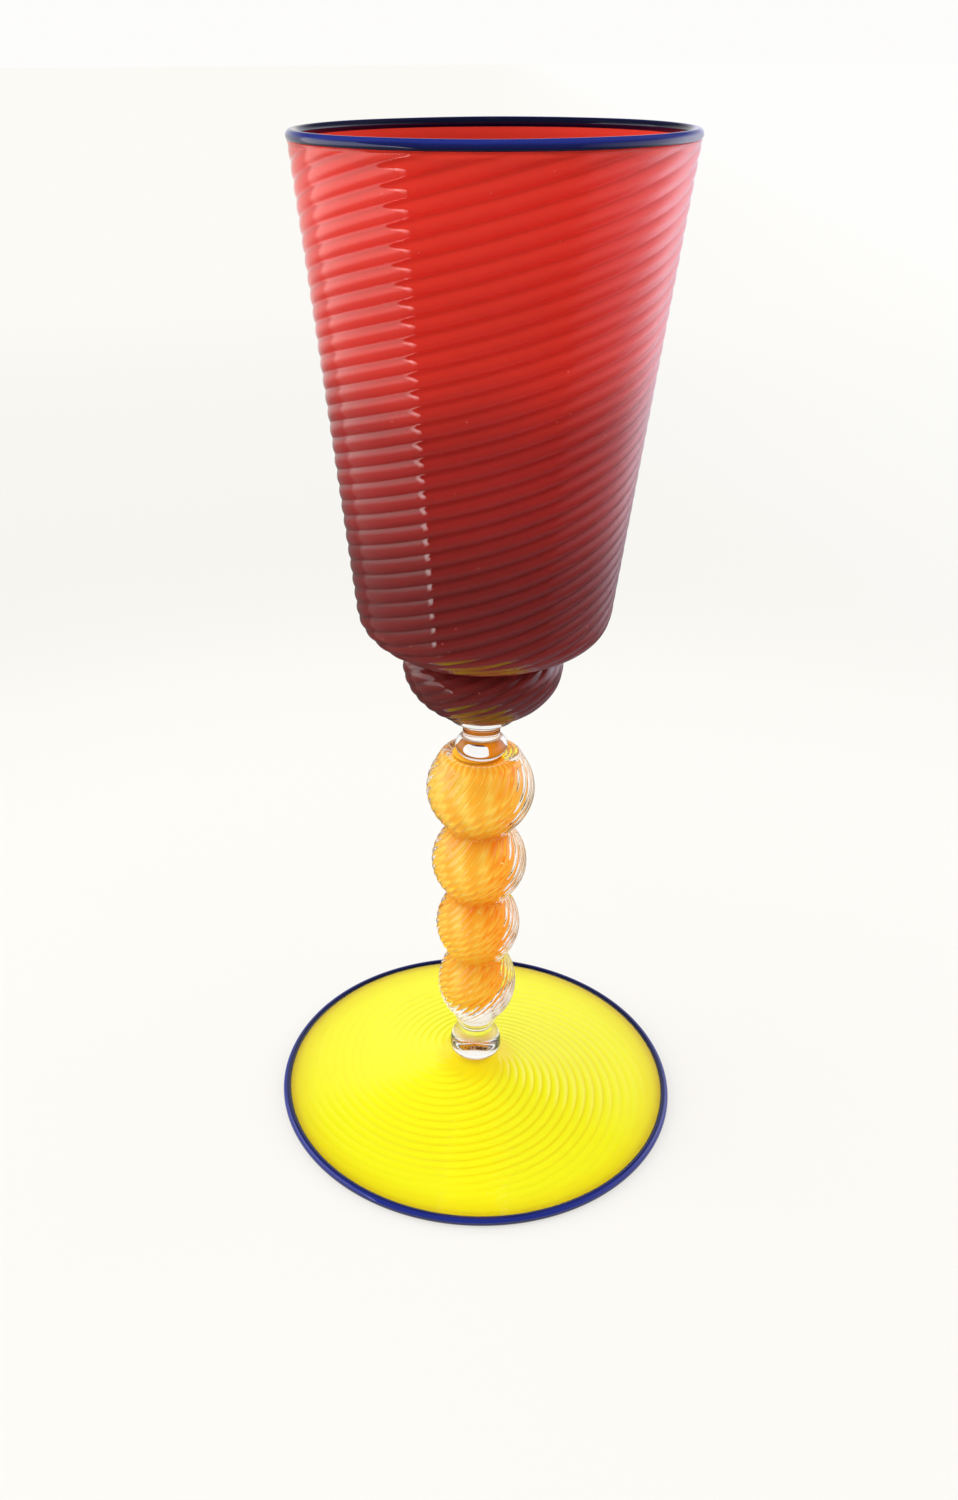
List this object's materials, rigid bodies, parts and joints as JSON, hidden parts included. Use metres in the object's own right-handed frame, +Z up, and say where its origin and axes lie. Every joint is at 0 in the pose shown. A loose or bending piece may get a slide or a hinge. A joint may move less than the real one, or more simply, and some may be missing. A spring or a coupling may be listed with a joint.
{
  "type": "water goblet",
  "caption": "Stemmed water goblet of twist-ribbed glass: tapered red cup over a small bulb, beaded orange stem, wide yellow foot, blue threads round mouth and foot.",
  "frame": {"origin": "centre of the ring under the foot that the goblet stands on, the middle of the underside of its bounding box", "axes": "+Z up along the goblet's axis, from the foot to the mouth; X and Y are alike, because the goblet is round"},
  "size_m": [0.1058, 0.1058, 0.2402],
  "materials": {
    "red_glass": "opaque red furnace glass, fire-polished",
    "bowl_clear_glass": "clear casing with twisted optic ribs, fire-polished",
    "orange_glass": "opaque amber-orange furnace glass",
    "stem_clear_glass": "thick clear casing with twisted ribs, fire-polished",
    "spool_glass": "clear, fire-polished",
    "yellow_glass": "opaque yellow furnace glass",
    "foot_clear_glass": "thin clear casing with a swirl of faint ribs",
    "blue_glass": "cobalt blue thread, fire-polished"
  },
  "bodies": {
    "root": {"foot_color": "yellow_glass", "foot_clear": "foot_clear_glass", "foot_lip_wrap": "blue_glass", "lower_avolio": "spool_glass", "stem_core": "orange_glass", "stem_casing": "stem_clear_glass", "upper_avolio": "spool_glass", "bowl_color": "red_glass", "bowl_casing": "bowl_clear_glass", "bowl_lip_wrap": "blue_glass"}
  },
  "joints": []
}
